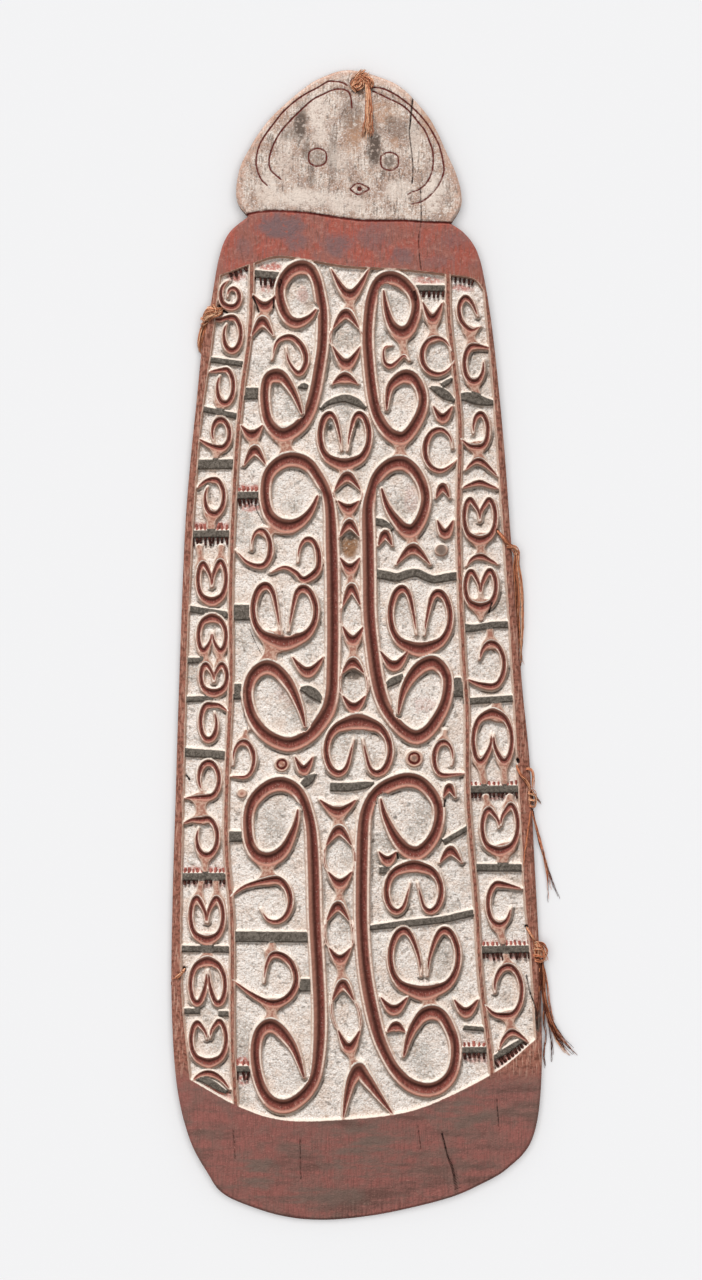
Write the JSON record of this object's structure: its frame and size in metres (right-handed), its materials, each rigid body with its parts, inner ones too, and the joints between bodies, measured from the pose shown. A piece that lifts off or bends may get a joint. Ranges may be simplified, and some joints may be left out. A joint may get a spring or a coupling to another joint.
{
  "type": "carved wooden shield",
  "caption": "Tall carved wooden shield with a rounded head, scroll reliefs, a hollow back with a grip, and fibre ties through its edge.",
  "frame": {"origin": "on the ground under the middle of the whole shield as it lies on its back", "axes": "+Y from the foot to the head, +X to the right as one faces the carving, +Z out of the carved front"},
  "size_m": [0.7164, 1.9992, 0.062],
  "materials": {
    "carved_wood": "matte, with worn red earth, lime and charcoal",
    "plant_fibre": "matte fibre"
  },
  "bodies": {
    "root": {"board": "carved_wood", "head_tuft": "plant_fibre", "upper_left_tie": "plant_fibre", "upper_right_bunch": "plant_fibre", "middle_right_tassel": "plant_fibre", "lower_right_tassel": "plant_fibre", "lower_left_cord": "plant_fibre"}
  },
  "joints": []
}
